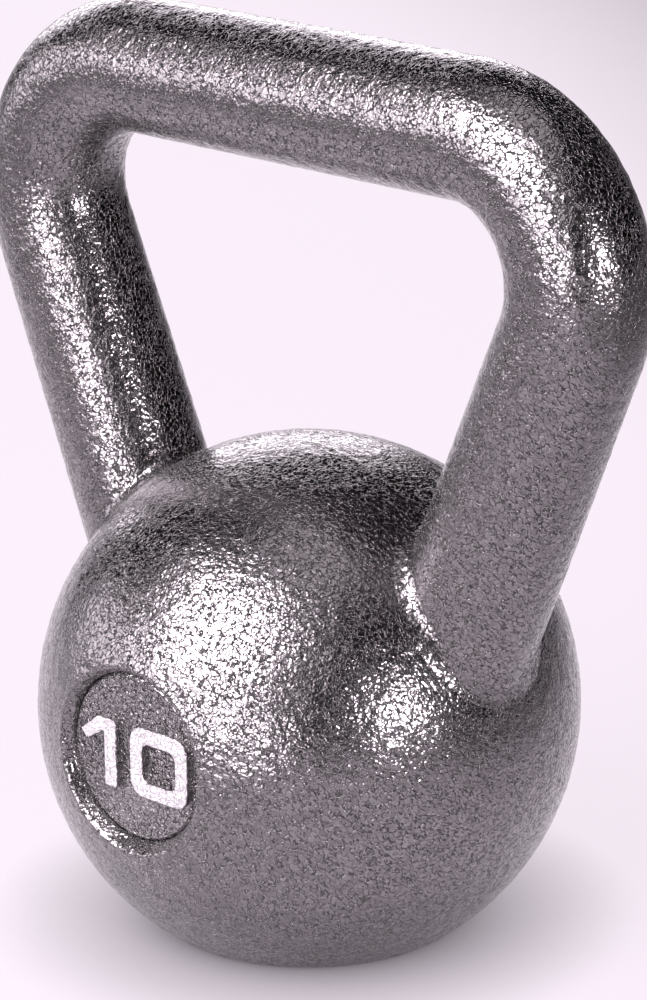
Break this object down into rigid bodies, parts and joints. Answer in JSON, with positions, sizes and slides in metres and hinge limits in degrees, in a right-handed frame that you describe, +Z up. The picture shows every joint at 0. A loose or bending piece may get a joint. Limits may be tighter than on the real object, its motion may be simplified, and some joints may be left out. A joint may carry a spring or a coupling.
{
  "type": "kettlebell",
  "caption": "Small cast-iron kettlebell: flat-footed ball with a bent round-bar handle seated and welded in it, and a recessed number disc.",
  "frame": {"origin": "centre of the flat foot, on the surface the kettlebell stands on", "axes": "+Z up, +X along the grip, -Y the way the number disc faces"},
  "size_m": [0.1494, 0.0956, 0.1644],
  "materials": {
    "ball_enamel": "hammered grey enamel over cast iron, glossy",
    "handle_enamel": "hammered grey enamel over steel bar, glossy",
    "weld_enamel": "hammered grey enamel over a smooth weld bead",
    "disc_enamel": "hammered grey enamel, finer grain",
    "numeral_enamel": "white enamel, satin, brushed on by hand"
  },
  "bodies": {
    "root": {"ball": "ball_enamel", "handle": "handle_enamel", "right_root_weld": "weld_enamel", "left_root_weld": "weld_enamel", "number_disc": "disc_enamel", "numeral_one": "numeral_enamel", "numeral_zero": "numeral_enamel"}
  },
  "joints": []
}
